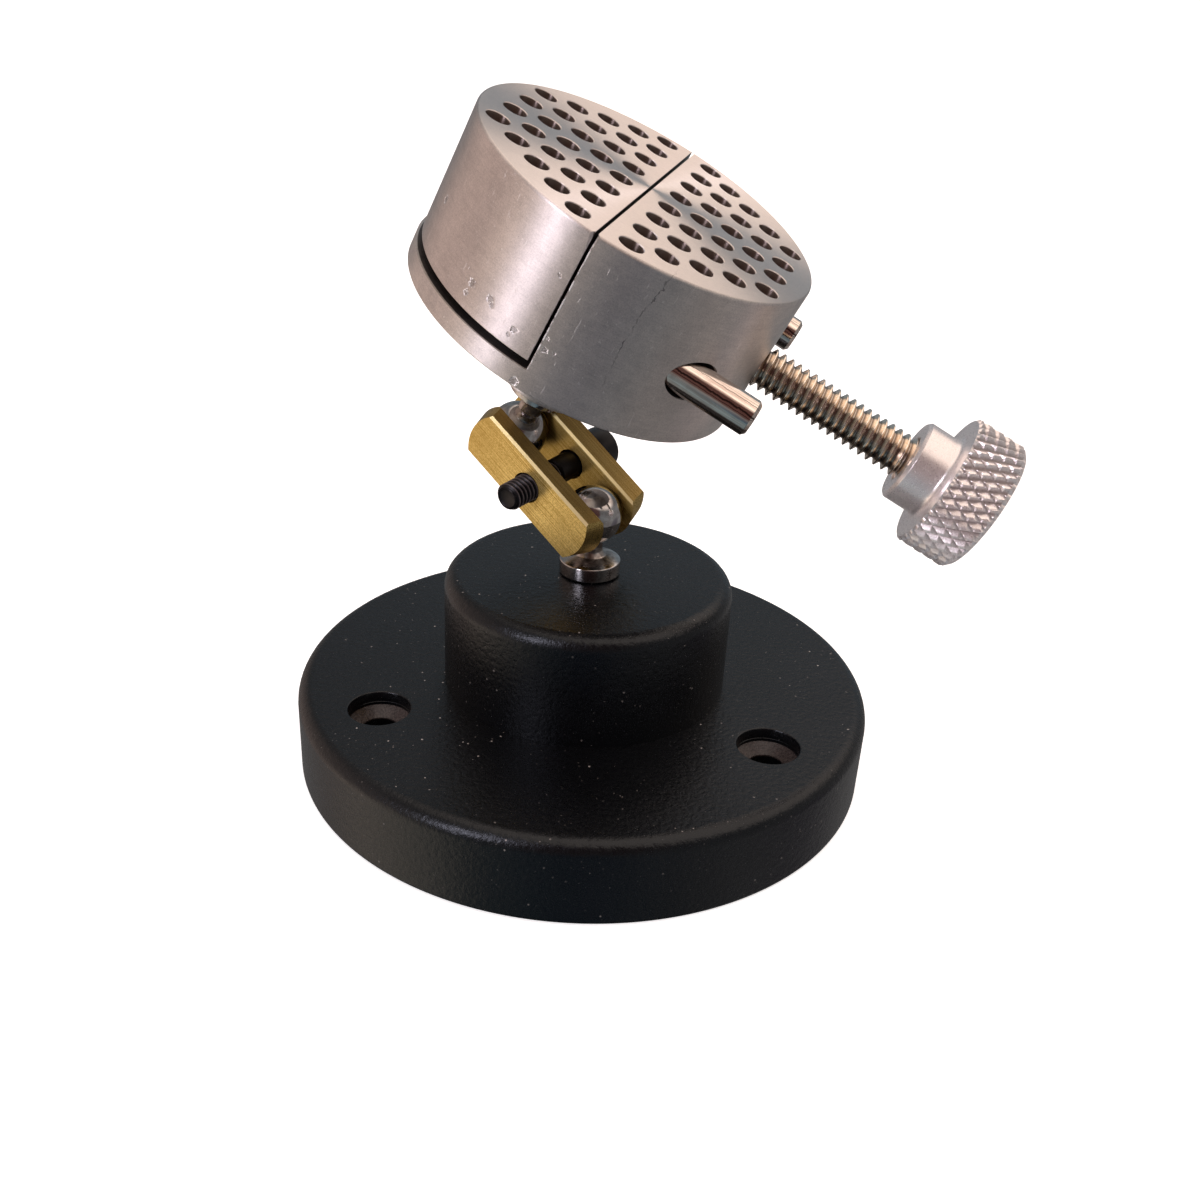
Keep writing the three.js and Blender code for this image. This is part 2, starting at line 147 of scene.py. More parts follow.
def mesh_object(name, verts, faces, place, sharp=30):
    mesh = bpy.data.meshes.new(name)
    mesh.from_pydata([(x * MM, y * MM, z * MM) for x, y, z in verts], [], faces)
    mesh.update()
    o = bpy.data.objects.new(name, mesh)
    scene.collection.objects.link(o)
    matrix = place.copy()
    matrix.translation = matrix.translation * MM
    o.matrix_world = matrix
    if sharp:
        mesh.shade_smooth()
        mesh.set_sharp_from_angle(angle=math.radians(sharp))
    return o


def rounded(points, steps=6):
    """A profile of (r, z) or (r, z, rounding) corners as a list of points."""
    out = []
    for i, point in enumerate(points):
        radius = point[2] if len(point) > 2 else 0
        if not radius or i in (0, len(points) - 1):
            out.append((point[0], point[1]))
            continue
        here = Vector(point[:2])
        back = (Vector(points[i - 1][:2]) - here).normalized()
        ahead = (Vector(points[i + 1][:2]) - here).normalized()
        half = back.angle(ahead) / 2
        start = here + back * (radius / math.tan(half))
        end = here + ahead * (radius / math.tan(half))
        centre = here + (back + ahead).normalized() * (radius / math.sin(half))
        first, last = start - centre, end - centre
        whole = first.angle(last)
        for k in range(steps + 1):
            t = k / steps
            arm = (math.sin((1 - t) * whole) * first + math.sin(t * whole) * last) / math.sin(whole)
            out.append(tuple(centre + arm))
    return out


def bar(radius, low, high):
    """The profile of a plain round bar."""
    return [(0, low), (radius, low), (radius, high), (0, high)]


def lathe_data(profile, sides=192, relief=None):
    """A profile turned about z. relief(angle, z) is how deep a pattern is cut there."""
    verts, faces, rings = [], [], []
    for r, z in profile:
        if r < 1e-6:
            rings.append([len(verts)])
            verts.append((0, 0, z))
        else:
            rings.append(list(range(len(verts), len(verts) + sides)))
            for j in range(sides):
                angle = TAU * j / sides
                left = r - (relief(angle, z) if relief else 0)
                verts.append((left * math.cos(angle), left * math.sin(angle), z))
    for low, high in zip(rings, rings[1:]):
        for j in range(sides):
            k = (j + 1) % sides
            if len(low) == 1 and len(high) == 1:
                break
            if len(low) == 1:
                faces.append((low[0], high[k], high[j]))
            elif len(high) == 1:
                faces.append((low[j], low[k], high[0]))
            else:
                faces.append((low[j], low[k], high[k], high[j]))
    return verts, faces


def lathe(name, profile, place, sides=192, relief=None, sharp=30):
    return mesh_object(name, *lathe_data(profile, sides, relief), place, sharp)


def prism(name, outline, low, high, place, outline_high=None):
    """A closed outline in x and z, drawn out along y, and into another outline if one is given."""
    n = len(outline)
    verts = [(x, low, z) for x, z in outline] + [(x, high, z) for x, z in outline_high or outline]
    faces = [(n + i, n + (i + 1) % n, (i + 1) % n, i) for i in range(n)]
    faces += [tuple(range(n)), tuple(range(2 * n - 1, n - 1, -1))]
    return mesh_object(name, verts, faces, place, sharp=0)


def many(name, shells, place):
    """Several (verts, faces, matrix) shells in one object."""
    verts, faces = [], []
    for shell_verts, shell_faces, matrix in shells:
        start = len(verts)
        verts += [tuple(matrix @ Vector(v)) for v in shell_verts]
        faces += [tuple(start + i for i in face) for face in shell_faces]
    return mesh_object(name, verts, faces, place, sharp=0)


def combine(o, other, operation, sharp=30):
    """Joins or cuts with another object, which is used up."""
    bpy.context.view_layer.update()
    modifier = o.modifiers.new("cut", "BOOLEAN")
    modifier.operation = operation
    modifier.solver = "EXACT"
    modifier.object = other
    graph = bpy.context.evaluated_depsgraph_get()
    mesh = bpy.data.meshes.new_from_object(o.evaluated_get(graph))
    o.modifiers.clear()
    o.data = mesh
    bpy.data.objects.remove(other)
    mesh.shade_smooth()
    mesh.set_sharp_from_angle(angle=math.radians(sharp))
    return o


def bevel(o, width, steps=2, angle=35):
    modifier = o.modifiers.new("worn edges", "BEVEL")
    modifier.width = width * MM
    modifier.segments = steps
    modifier.limit_method = "ANGLE"
    modifier.angle_limit = math.radians(angle)
    modifier.harden_normals = True
    modifier.miter_outer = "MITER_ARC"
    return o


def even(o):
    """Keeps large flat faces flat where they meet holes and small roundings."""
    modifier = o.modifiers.new("even shading", "WEIGHTED_NORMAL")
    modifier.keep_sharp = True
    modifier.weight = 90
    return o


def settle(o, body, material, slot, *nodes):
    """Gives a piece its material and its body, and hides the CAD nodes that it stands for."""
    o.data.materials.clear()
    o.data.materials.append(material)
    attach(o, body)
    if nodes:
        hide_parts(*nodes)
    return o


def thread(name, major, minor, pitch, low, high, place, limit, sides=72, rows=14):
    """A right-hand V thread about z whose rows follow the helix. limit(z) caps the radius at the ends."""
    crest, root = 0.12, 0.16
    step = pitch / rows
    count = int((high - low) / step) + rows * 2

    def radius(row):
        flank = abs(2 * (row % rows) / rows - 1)
        flank = min(1, max(0, (flank - root) / (1 - crest - root)))
        return minor + (major - minor) * flank

    def at(row, j):
        return row * sides + j if j < sides else (row + rows) * sides

    verts, faces = [], []
    for row in range(count + 1):
        for j in range(sides):
            z = low - pitch + step * row + pitch * j / sides
            z = min(high, max(low, z))
            angle = TAU * j / sides
            r = min(radius(row), limit(z))
            verts.append((r * math.cos(angle), r * math.sin(angle), z))
    for row in range(count - rows):
        for j in range(sides):
            faces.append((at(row, j), at(row, j + 1), at(row + 1, j + 1), at(row + 1, j)))
    return mesh_object(name, verts, faces, place, sharp=40)


# Material making

class Nodes:
    """A short way to write a node material. colour and height are what the marks are laid over."""

    def __init__(self, name):
        self.material = bpy.data.materials.new(name)
        self.material.use_nodes = True
        self.tree = self.material.node_tree
        self.tree.nodes.clear()
        out = self.add("ShaderNodeOutputMaterial")
        self.shader = self.add("ShaderNodeBsdfPrincipled")
        self.link(self.shader.outputs["BSDF"], out.inputs["Surface"])
        coords = self.add("ShaderNodeTexCoord")
        self.own_normal = coords.outputs["Normal"]
        self.place = self.scale(coords.outputs["Object"], 1 / MM)
        self.colour = None
        self.height = None

    def add(self, kind, **values):
        node = self.tree.nodes.new(kind)
        for key, value in values.items():
            setattr(node, key, value)
        return node

    def link(self, a, b):
        self.tree.links.new(a, b)

    def put(self, value, socket):
        if isinstance(value, bpy.types.NodeSocket):
            self.link(value, socket)
        else:
            socket.default_value = value

    def scale(self, vector, factor):
        node = self.add("ShaderNodeVectorMath", operation="SCALE")
        self.put(vector, node.inputs[0])
        node.inputs["Scale"].default_value = factor
        return node.outputs[0]

    def stretch(self, vector, factors):
        node = self.add("ShaderNodeVectorMath", operation="MULTIPLY")
        self.put(vector, node.inputs[0])
        node.inputs[1].default_value = factors
        return node.outputs[0]

    def distance(self, vector, point):
        node = self.add("ShaderNodeVectorMath", operation="DISTANCE")
        self.link(vector, node.inputs[0])
        node.inputs[1].default_value = point
        return node.outputs["Value"]

    def math(self, operation, *values):
        node = self.add("ShaderNodeMath", operation=operation)
        for value, socket in zip(values, node.inputs):
            self.put(value, socket)
        return node.outputs[0]

    def plus(self, a, b):
        return self.math("ADD", a, b)

    def minus(self, a, b):
        return self.math("SUBTRACT", a, b)

    def size(self, a):
        return self.math("ABSOLUTE", a)

    def larger(self, a, b):
        return self.math("MAXIMUM", a, b)

    def product(self, *values):
        total = values[0]
        for value in values[1:]:
            total = self.math("MULTIPLY", total, value)
        return total

    def product_plus(self, a, b, c):
        return self.math("MULTIPLY_ADD", a, b, c)

    def weigh(self, *parts):
        """The sum of some values times their weights."""
        total = self.product(*parts[0])
        for value, weight in parts[1:]:
            total = self.product_plus(value, weight, total)
        return total

    def split(self, vector):
        node = self.add("ShaderNodeSeparateXYZ")
        self.link(vector, node.inputs[0])
        return node.outputs

    def join(self, x, y, z):
        node = self.add("ShaderNodeCombineXYZ")
        for value, socket in zip((x, y, z), node.inputs):
            self.put(value, socket)
        return node.outputs[0]

    def around_axis(self):
        """Distance from the z axis, height, angle, x and y, for marks left by turning."""
        x, y, z = self.split(self.place)
        length = self.add("ShaderNodeVectorMath", operation="LENGTH")
        self.link(self.join(x, y, 0), length.inputs[0])
        return length.outputs["Value"], z, self.math("ARCTAN2", y, x), x, y

    def noise(self, vector, scale, detail=2.0, rough=0.5, warp=0.0, output="Fac"):
        node = self.add("ShaderNodeTexNoise")
        self.link(vector, node.inputs["Vector"])
        node.inputs["Scale"].default_value = scale
        node.inputs["Detail"].default_value = detail
        node.inputs["Roughness"].default_value = rough
        node.inputs["Distortion"].default_value = warp
        return node.outputs[output]

    def dots(self, vector, scale, size, soft=0.02):
        """1 inside sparse small dots, 0 elsewhere."""
        node = self.add("ShaderNodeTexVoronoi")
        self.link(vector, node.inputs["Vector"])
        node.inputs["Scale"].default_value = scale
        return self.ramp(node.outputs["Distance"], size, size + soft, 1, 0)

    def ramp(self, value, start, end, low=0.0, high=1.0, smooth=False):
        node = self.add("ShaderNodeMapRange", interpolation_type="SMOOTHSTEP" if smooth else "LINEAR")
        for v, socket in zip((value, start, end, low, high), node.inputs):
            self.put(v, socket)
        return node.outputs[0]

    def mix(self, share, a, b):
        node = self.add("ShaderNodeMix", data_type="RGBA")
        self.put(share, node.inputs[0])
        self.put((*a, 1) if isinstance(a, tuple) else a, node.inputs[6])
        self.put((*b, 1) if isinstance(b, tuple) else b, node.inputs[7])
        return node.outputs[2]

    def tint(self, mask, colour):
        """Lays a colour over what is there, as far as the mask says."""
        self.colour = self.mix(mask, self.colour, colour)

    def lift(self, mask, amount):
        """Raises the surface where the mask is 1."""
        self.height = self.product_plus(mask, amount, self.height)

    def bump(self, strength, depth):
        node = self.add("ShaderNodeBump")
        node.inputs["Strength"].default_value = strength
        node.inputs["Distance"].default_value = depth * MM
        self.link(self.height, node.inputs["Height"])
        return node.outputs[0]

    def across(self, direction):
        """Tangent at right angles to scratches that run along a direction in object space."""
        to_world = self.add("ShaderNodeVectorTransform", vector_type="VECTOR",
                            convert_from="OBJECT", convert_to="WORLD")
        self.put(direction, to_world.inputs[0])
        geometry = self.add("ShaderNodeNewGeometry")
        cross = self.add("ShaderNodeVectorMath", operation="CROSS_PRODUCT")
        self.link(geometry.outputs["Normal"], cross.inputs[0])
        self.link(to_world.outputs[0], cross.inputs[1])
        self.link(cross.outputs[0], self.shader.inputs["Tangent"])

    def set(self, **values):
        for key, value in values.items():
            socket = self.shader.inputs[key.replace("_", " ")]
            self.put((*value, 1) if isinstance(value, tuple) and len(value) == 3 else value, socket)


WHITE = (1.0, 1.0, 1.0)


# Turned aluminium, with the marks that the photograph shows on it, and the painted highlights and shade that
# go with them

def scratches(m):
    """Hair lines in three directions, raised as bumps and tinted near white as a painted highlight."""
    for k, factors in enumerate(((7.0, 0.5, 5.0), (0.6, 6.0, 2.2), (4.0, 3.0, 0.45))):
        lines = m.noise(m.stretch(m.place, factors), 0.9, 1, 0.5, 0.15 * k)
        cut = m.ramp(lines, 0.735, 0.76)
        m.lift(cut, 2.2)
        # painted highlight: the hair lines are tinted near white
        m.tint(m.product(cut, 0.5), (1.0, 0.97, 0.96))


def dent(m, at, size, grain):
    """A small ragged dent, with painted shade in the middle and painted highlights on chips in it. Gives the
    mask of these painted highlights.
    """
    ragged = 0.9
    wobble = m.noise(m.place, 1.9, output="Color")
    moved = m.add("ShaderNodeVectorMath", operation="ADD")
    m.link(m.place, moved.inputs[0])
    m.link(m.scale(wobble, ragged), moved.inputs[1])
    gap = m.distance(moved.outputs[0], tuple(v + ragged / 2 for v in at))
    inside = m.ramp(gap, size * 0.5, size, 1, 0, True)
    core = m.ramp(inside, 0.55, 1.0)
    painted_glint = m.product(m.ramp(inside, 0.05, 0.30), m.ramp(grain, 0.48, 0.58))
    # painted highlight: white chips in the dent
    m.tint(painted_glint, WHITE)
    # painted shade: the middle of the dent is darkened
    m.tint(m.product(core, 0.55), (0.16, 0.13, 0.13))
    m.lift(inside, -9.0)
    return painted_glint


def scribed_line(m, x, y, z, blotch):
    """The wavering hair line that runs down the front of the fixed jaw."""
    wobble = m.product(m.minus(m.noise(m.place, 0.9, 4, 0.6), 0.5), 1.3)
    bow = m.product_plus(m.math("POWER", m.size(m.minus(z, 12.2)), 2), 0.01, 9.1)
    line = m.size(m.minus(m.plus(x, wobble), bow))
    line = m.ramp(line, 0.02, m.ramp(blotch, 0.35, 0.65, 0.05, 0.16), 1, 0)
    faded = m.ramp(m.noise(m.place, 0.55, 2), 0.40, 0.58, 0.10, 0.75)
    m.tint(m.product(line, m.ramp(y, -20, -21), m.ramp(z, 5.5, 8), faded), (0.13, 0.12, 0.12))


def split_burr(m, x, y, z):
    """Chips on the fixed jaw's edge along the split, raised as bumps and tinted white as a painted highlight.
    Gives their mask.
    """
    edge = m.product(m.ramp(x, FIXED_FACE + 0.12, FIXED_FACE + 0.26, 1, 0),
                     m.ramp(y, 0.35 - HEAD_RADIUS, 0.25 - HEAD_RADIUS),
                     m.ramp(z, DISC_TOP + 0.1, DISC_TOP + 0.4))
    burr = m.product(edge, m.ramp(m.noise(m.place, 1.3, 3, 0.7), 0.42, 0.56))
    m.lift(burr, 9.0)
    # painted highlight: the chips are tinted white
    m.tint(burr, WHITE)
    return burr


def grip_groove_darkening(m, r, z):
    """Darker towards the bottom of the knurling grooves."""
    depth = m.ramp(r, KNOB_RADIUS - KNURL_DEEP, KNOB_RADIUS - 0.15, 0.65, 0)
    worn = m.product(depth, m.ramp(z, GRIP_LOW + 0.25, GRIP_LOW + 0.4),
                     m.ramp(z, GRIP_HIGH - 0.1, GRIP_HIGH + 0.05, 1, 0))
    # darker towards the bottom of the grooves, by depth
    m.tint(worn, (0.36, 0.28, 0.26))


def jaw_inside(m, r, z, x, low, fine):
    """Painted shade in the bores, slot and split: brown walls that darken with depth, nearly black deepest
    down. Gives the mask of all that lies inside the jaw.
    """
    radius, high = HEAD_RADIUS - 0.35, HEAD_TOP - 0.14
    inside = m.product(m.ramp(r, radius, radius + 0.05, 1, 0), m.ramp(z, low, low + 0.05),
                       m.ramp(z, high, high + 0.05, 1, 0))
    deep = m.larger(m.ramp(z, 13.2, 13.4, 1, 0), m.ramp(m.size(x), 0.62, 0.70, 1, 0))
    # painted shade: the walls are lighter near the top face and darker deeper in, nearly black in the deepest
    # parts
    wall = m.mix(m.ramp(z, HEAD_TOP - 1.1, HEAD_TOP - 0.2), (0.25, 0.18, 0.155), (0.42, 0.33, 0.29))
    painted_shade = m.mix(deep, wall, (0.05, 0.04, 0.04))
    m.tint(m.product(inside, m.ramp(fine, 0.3, 0.7, 1, 0.8)), painted_shade)
    return inside


def turned_metal(name, light, dark, rough, aniso, matt, inside_from=None, dents=(), scribed=False,
                 grip=False):
    """Aluminium off the lathe: rings about z, clouds of handling, pits and scratches, painted light on the
    top face and painted shade inside.
    """
    m = Nodes(name)
    r, z, angle, x, y = m.around_axis()
    rings = m.join(r, z, m.product(angle, 1.6))
    fine = m.noise(rings, 12.0, 3, 0.75)
    broad = m.noise(rings, 3.2, 2)
    cloud = m.noise(m.place, 0.13, 3, 0.6, 0.4)
    blotch = m.noise(m.place, 0.8, 4, 0.65)
    grain = m.noise(m.place, 5.2, 4, 0.8)
    tone = m.weigh((broad, 0.20), (cloud, 0.45), (fine, 0.25), (blotch, 0.30), (grain, 0.90))
    m.colour = m.mix(m.ramp(tone, 0.88, 1.22), dark, light)
    m.height = m.weigh((grain, 1.1), (fine, 0.35))
    specks = m.product(m.dots(m.place, 0.8, 0.05, 0.03), m.ramp(cloud, 0.45, 0.6))
    m.tint(m.product(specks, 0.5), (0.20, 0.16, 0.15))
    scratches(m)
    metallic = 1 - matt
    if dents:
        painted_glints = 0.0
        for at, size in dents:
            painted_glints = m.larger(painted_glints, dent(m, at, size, grain))
        if scribed:
            scribed_line(m, x, y, z, blotch)
            painted_glints = m.larger(painted_glints, split_burr(m, x, y, z))
        # the painted highlights are also made half matt, which keeps them bright
        metallic = m.product_plus(painted_glints, -0.5, metallic)
    roughness = m.ramp(m.weigh((grain, 0.6), (fine, 0.4)), 0.3, 0.7, rough - 0.05, rough + 0.07)
    if grip:
        grip_groove_darkening(m, r, z)
    if inside_from:
        inside = jaw_inside(m, r, z, x, inside_from, fine)
        face = m.ramp(z, HEAD_TOP - 0.09, HEAD_TOP - 0.02)
        m.lift(m.product(face, broad), 2.5)
        # painted light: the top face is tinted lighter than the sides
        m.tint(m.product(face, 0.65), (1.0, 0.94, 0.90))
        roughness = m.product_plus(face, 0.05, m.product_plus(inside, -0.06, roughness))
    m.set(Base_Color=m.colour, Metallic=metallic, Roughness=roughness, Anisotropic=aniso)
    m.set(Normal=m.bump(0.35, 0.02))
    m.across(m.join(m.product(y, -1), x, 0))
    return m.material


# The other materials

def hole_places():
    angles = [math.radians(FIRST_HOLE + 360 / HOLES * k) for k in range(HOLES)]
    return [(HOLE_CIRCLE * math.cos(a), HOLE_CIRCLE * math.sin(a)) for a in angles]


def powder_coat():
    """Black powder coat with fine orange peel and dust, and bare metal on the seats of the screw holes."""
    m = Nodes("black_powder_coat")
    x, y, z = m.split(m.place)
    peel = m.noise(m.place, 1.35, 2, 0.5)
    fine = m.noise(m.place, 3.6, 3, 0.65)
    cloud = m.noise(m.place, 0.05, 3, 0.6)
    m.colour = m.mix(m.ramp(cloud, 0.35, 0.7), (0.0014, 0.0016, 0.0022), (0.0030, 0.0034, 0.0044))
    dust = m.larger(m.dots(m.place, 0.50, 0.055, 0.03), m.product(m.dots(m.place, 0.9, 0.05, 0.04), 0.5))
    geometry = m.add("ShaderNodeNewGeometry")
    facing_up = m.ramp(m.split(geometry.outputs["Normal"])[2], 0.3, 0.9, 0.25, 1)
    dust = m.product(dust, m.ramp(m.noise(m.place, 0.10, 1), 0.40, 0.60), facing_up)
    m.tint(m.product(dust, 0.8), (0.62, 0.57, 0.54))
    in_hole = 0.0
    for hole_x, hole_y in hole_places():
        gap = m.distance(m.join(x, y, 0), (hole_x, hole_y, 0))
        in_hole = m.plus(in_hole, m.ramp(gap, HOLE_WALL + 0.04, HOLE_WALL + 0.08, 1, 0))
    bare = m.product(in_hole, m.ramp(z, HOLE_SEAT + 0.01, HOLE_SEAT + 0.05, 1, 0), m.ramp(z, 9.5, 9.7))
    m.tint(bare, m.mix(m.ramp(fine, 0.35, 0.65), (0.030, 0.024, 0.023), (0.085, 0.067, 0.061)))
    m.height = m.weigh((fine, 0.45), (peel, 1.0))
    m.set(Base_Color=m.colour, Metallic=0.0, Specular_IOR_Level=0.42, Specular_Tint=(0.86, 0.93, 1.0))
    m.set(Roughness=m.ramp(m.weigh((fine, 0.6), (peel, 0.4)), 0.32, 0.68, 0.21, 0.35))
    m.set(Normal=m.bump(0.65, 0.12))
    return m.material


def brushed_brass():
    """Brass brushed along z, with painted highlights on the chamfers, painted shade that darkens the ends and
    narrow faces, the inner face and the part towards the upper ball.
    """
    m = Nodes("brushed_brass")
    x, y, z = m.split(m.place)
    streak = m.noise(m.stretch(m.place, (8.0, 8.0, 0.07)), 0.8, 4, 0.8)
    wide = m.noise(m.stretch(m.place, (2.6, 2.6, 0.05)), 0.8, 2)
    grain = m.noise(m.place, 5.0, 3, 0.7)
    cloud = m.noise(m.place, 0.25, 2)
    tone = m.weigh((grain, 0.40), (wide, 0.10), (streak, 0.70))
    m.colour = m.mix(m.ramp(tone, 0.50, 0.72), (0.40, 0.25, 0.050), (1.0, 0.77, 0.29))
    m.tint(m.ramp(cloud, 0.50, 0.75, 0, 0.4), (0.45, 0.31, 0.09))
    # painted shade: the plates darken towards the upper ball
    m.tint(m.ramp(z, 4, 20, 0, 0.40), (0.40, 0.24, 0.05))
    m.tint(m.product(m.dots(m.place, 1.1, 0.05, 0.04), 0.55), (0.12, 0.07, 0.02))
    facing_x, facing_y, facing_z = m.split(m.own_normal)
    shaded_narrow_faces = m.ramp(m.size(facing_x), 0.8, 0.95)
    # painted shade: the narrow faces are darkened
    m.tint(m.product(shaded_narrow_faces, 0.45), (0.34, 0.20, 0.06))
    chamfer_highlight = m.ramp(m.product(m.size(facing_x), m.size(facing_y)), 0.30, 0.45)
    # painted highlight: the chamfers are tinted bright gold
    m.tint(chamfer_highlight, (1.0, 0.84, 0.42))
    inner = m.ramp(m.size(y), PLATE_INNER + 0.02, PLATE_INNER + 0.08, 1, 0)
    # painted shade: the inner face, between the plates, is darkened
    m.tint(m.product(inner, 0.5), (0.26, 0.17, 0.04))
    m.height = m.weigh((grain, 0.3), (streak, 0.8))
    m.set(Base_Color=m.colour, Metallic=1.0, Anisotropic=0.8)
    m.set(Roughness=m.mix(chamfer_highlight, m.ramp(tone, 0.4, 0.8, 0.44, 0.33), (0.30, 0.30, 0.30)))
    m.set(Normal=m.bump(0.4, 0.02))
    m.across((0.0, 0.0, 1.0))
    return m.material


def reflected_dark_lines(m, z, angle):
    """Painted reflection: dark lines along a drawn rod, each at an angle, with how much it wanders and how
    wide it is.
    """
    for at, wave, width in ((-2.06, 0.9, 0.13), (-2.62, 0.5, 0.05), (-1.90, 0.3, 0.04), (1.1, 0.6, 0.07)):
        wander = m.product(m.minus(m.noise(m.join(at, 0, z), 0.55, 4, 0.7), 0.5), wave)
        gap = m.size(m.product_plus(m.minus(angle, at), 2.5, wander))
        # painted reflection: each line is tinted dark
        m.tint(m.ramp(gap, width * 0.7, width * 1.1, 0.95, 0), (0.09, 0.06, 0.05))


def polished(name, light, dark, rough, along=0.3, wear=0.5, root=0.0, drawn=False, neck=False):
    """Bright steel, with painted shade in thread roots and painted reflection lines where asked. along is how
    much the marks change with length: little on rods drawn lengthwise.
    """
    m = Nodes(name)
    r, z, angle, x, y = m.around_axis()
    marks = m.noise(m.join(m.product(x, 1.6), m.product(y, 1.6), m.product(z, along)), 1.6, 4, 0.7)
    smear = m.noise(m.place, 0.5, 3, 0.6, 0.8)
    tone = m.weigh((smear, 1 - wear), (marks, wear))
    m.colour = m.mix(m.ramp(tone, 0.40, 0.60), dark, light)
    m.height = m.plus(marks, smear)
    roughness = m.ramp(tone, 0.3, 0.7, rough + 0.07, rough - 0.03)
    if root:
        # painted shade: the thread roots are darkened
        m.tint(m.ramp(r, root, root + 0.25, 0.6, 0), (0.10, 0.07, 0.06))
    if drawn:
        reflected_dark_lines(m, z, angle)
    if neck:
        bare = m.product(m.ramp(z, -4.3, -3.9, 1, 0), m.ramp(z, -7.1, -6.8))
        m.tint(m.product(bare, 0.7), m.mix(m.ramp(smear, 0.42, 0.58), (0.16, 0.12, 0.10), (0.52, 0.46, 0.41)))
        roughness = m.product_plus(bare, 0.20, roughness)
    m.set(Base_Color=m.colour, Metallic=1.0, Roughness=roughness)
    m.set(Normal=m.bump(0.15, 0.02))
    return m.material


def black_oxide():
    """Blackened steel with a painted highlight on the thread crests towards the tip."""
    m = Nodes("black_oxide_steel")
    r, z, *_ = m.around_axis()
    grain = m.noise(m.place, 6.0, 3, 0.7)
    cloud = m.noise(m.place, 0.8, 2)
    m.colour = m.mix(m.ramp(cloud, 0.35, 0.7), (0.004, 0.003, 0.004), (0.012, 0.010, 0.011))
    crest = m.product(m.ramp(r, CLAMP_RADIUS - 0.15, CLAMP_RADIUS - 0.02),
                      m.ramp(r, CLAMP_RADIUS + 0.02, CLAMP_RADIUS + 0.07, 1, 0), m.ramp(z, 8.3, 9.0))
    # painted highlight: the thread crests are tinted lighter
    m.tint(m.product(crest, m.ramp(grain, 0.3, 0.7, 0.4, 0.9)), (0.20, 0.17, 0.17))
    m.height = grain
    m.set(Base_Color=m.colour, Metallic=0.5, Roughness=m.ramp(grain, 0.3, 0.7, 0.30, 0.46))
    m.set(Normal=m.bump(0.25, 0.02))
    return m.material


# where each dent is on the head, and its radius
MOVING_DENTS = [((-11.4, -22.5, 7.7), 0.70), ((-11.6, -22.4, 6.2), 0.50), ((-8.3, -23.8, 7.9), 0.62),
                ((-7.7, -24.0, 7.3), 0.50), ((-3.8, -25.0, 6.6), 0.60), ((-4.2, -24.9, 5.6), 0.36),
                ((-20.8, -14.3, 11.7), 0.60), ((-1.8, -25.2, 15.9), 0.36)]
FIXED_DENTS = [((-0.3, -25.2, 0.8), 0.70), ((1.3, -25.2, 6.6), 0.50), ((0.9, -25.2, 8.2), 0.34),
               ((2.4, -25.1, 6.9), 0.36)]
# The fixed jaw gets its own copy of the same aluminium, a little darker and more matt: painted light matched
# to that side of the head.
MOVING_AL = turned_metal("turned_aluminium_moving", (0.86, 0.80, 0.78), (0.60, 0.56, 0.55), 0.40, 0.90, 0.02,
                         JAW_BOTTOM + 0.05, MOVING_DENTS)
FIXED_AL = turned_metal("turned_aluminium_fixed", (0.84, 0.79, 0.76), (0.58, 0.55, 0.54), 0.41, 0.90, 0.045,
                        0.3, FIXED_DENTS, scribed=True)
KNOB_AL = turned_metal("knob_aluminium", (1.0, 0.96, 0.95), (0.90, 0.84, 0.84), 0.28, 0.1, 0.20, grip=True)
POWDER = powder_coat()
BRASS = brushed_brass()
CHROME = polished("polished_ball_steel", (0.62, 0.62, 0.62), (0.40, 0.37, 0.36), 0.08, 1.6, 0.3, neck=True)
ROD = polished("drawn_rod_steel", (0.95, 0.88, 0.80), (0.66, 0.54, 0.48), 0.09, 0.06, 0.75, drawn=True)
SCREW = polished("threaded_screw_steel", (1.0, 0.93, 0.82), (0.86, 0.71, 0.58), 0.17, 0.5, 0.6,
                 root=SCREW_ROOT + 0.06)
OXIDE = black_oxide()


# Base

def screw_hole():
    """A counterbored hole with a ridge that the cutter left low on its wall, and the coat round its lip."""
    wall, top = HOLE_WALL, BASE_TOP
    below, above = -1, top + 0.8
    return lathe_data([(0, below), (HOLE_THROUGH, below), (HOLE_THROUGH, 9.8), (4.5, 10.88),
                       (wall + 0.02, HOLE_SEAT), (wall + 0.02, 11.2), (wall - 0.05, 11.24),
                       (wall - 0.05, 11.5), (wall, 11.55), (wall, top - 0.25), (wall + 0.08, top - 0.1),
                       (wall + 0.26, top), (wall + 0.8, top + 0.2), (wall + 0.8, above), (0, above)], 96)


base = lathe("base", rounded([(0, 0), (BASE_RADIUS, 0, 0.8), (BASE_RADIUS, BASE_TOP, 2.2),
                              (BOSS_RADIUS, BASE_TOP), (BOSS_RADIUS, BOSS_TOP, 2.3), (0, BOSS_TOP)], 10),
             BASE, 288)
bores = [(*screw_hole(), shift(x, y, 0)) for x, y in hole_places()]
bores.append((*lathe_data(bar(SHANK_BORE, 21.5, 32), 48), BASE))
combine(base, many("bores", bores, BASE), "DIFFERENCE", 32)
even(base)
settle(base, "base", POWDER, "base_black", "base_casting")


# Ball studs

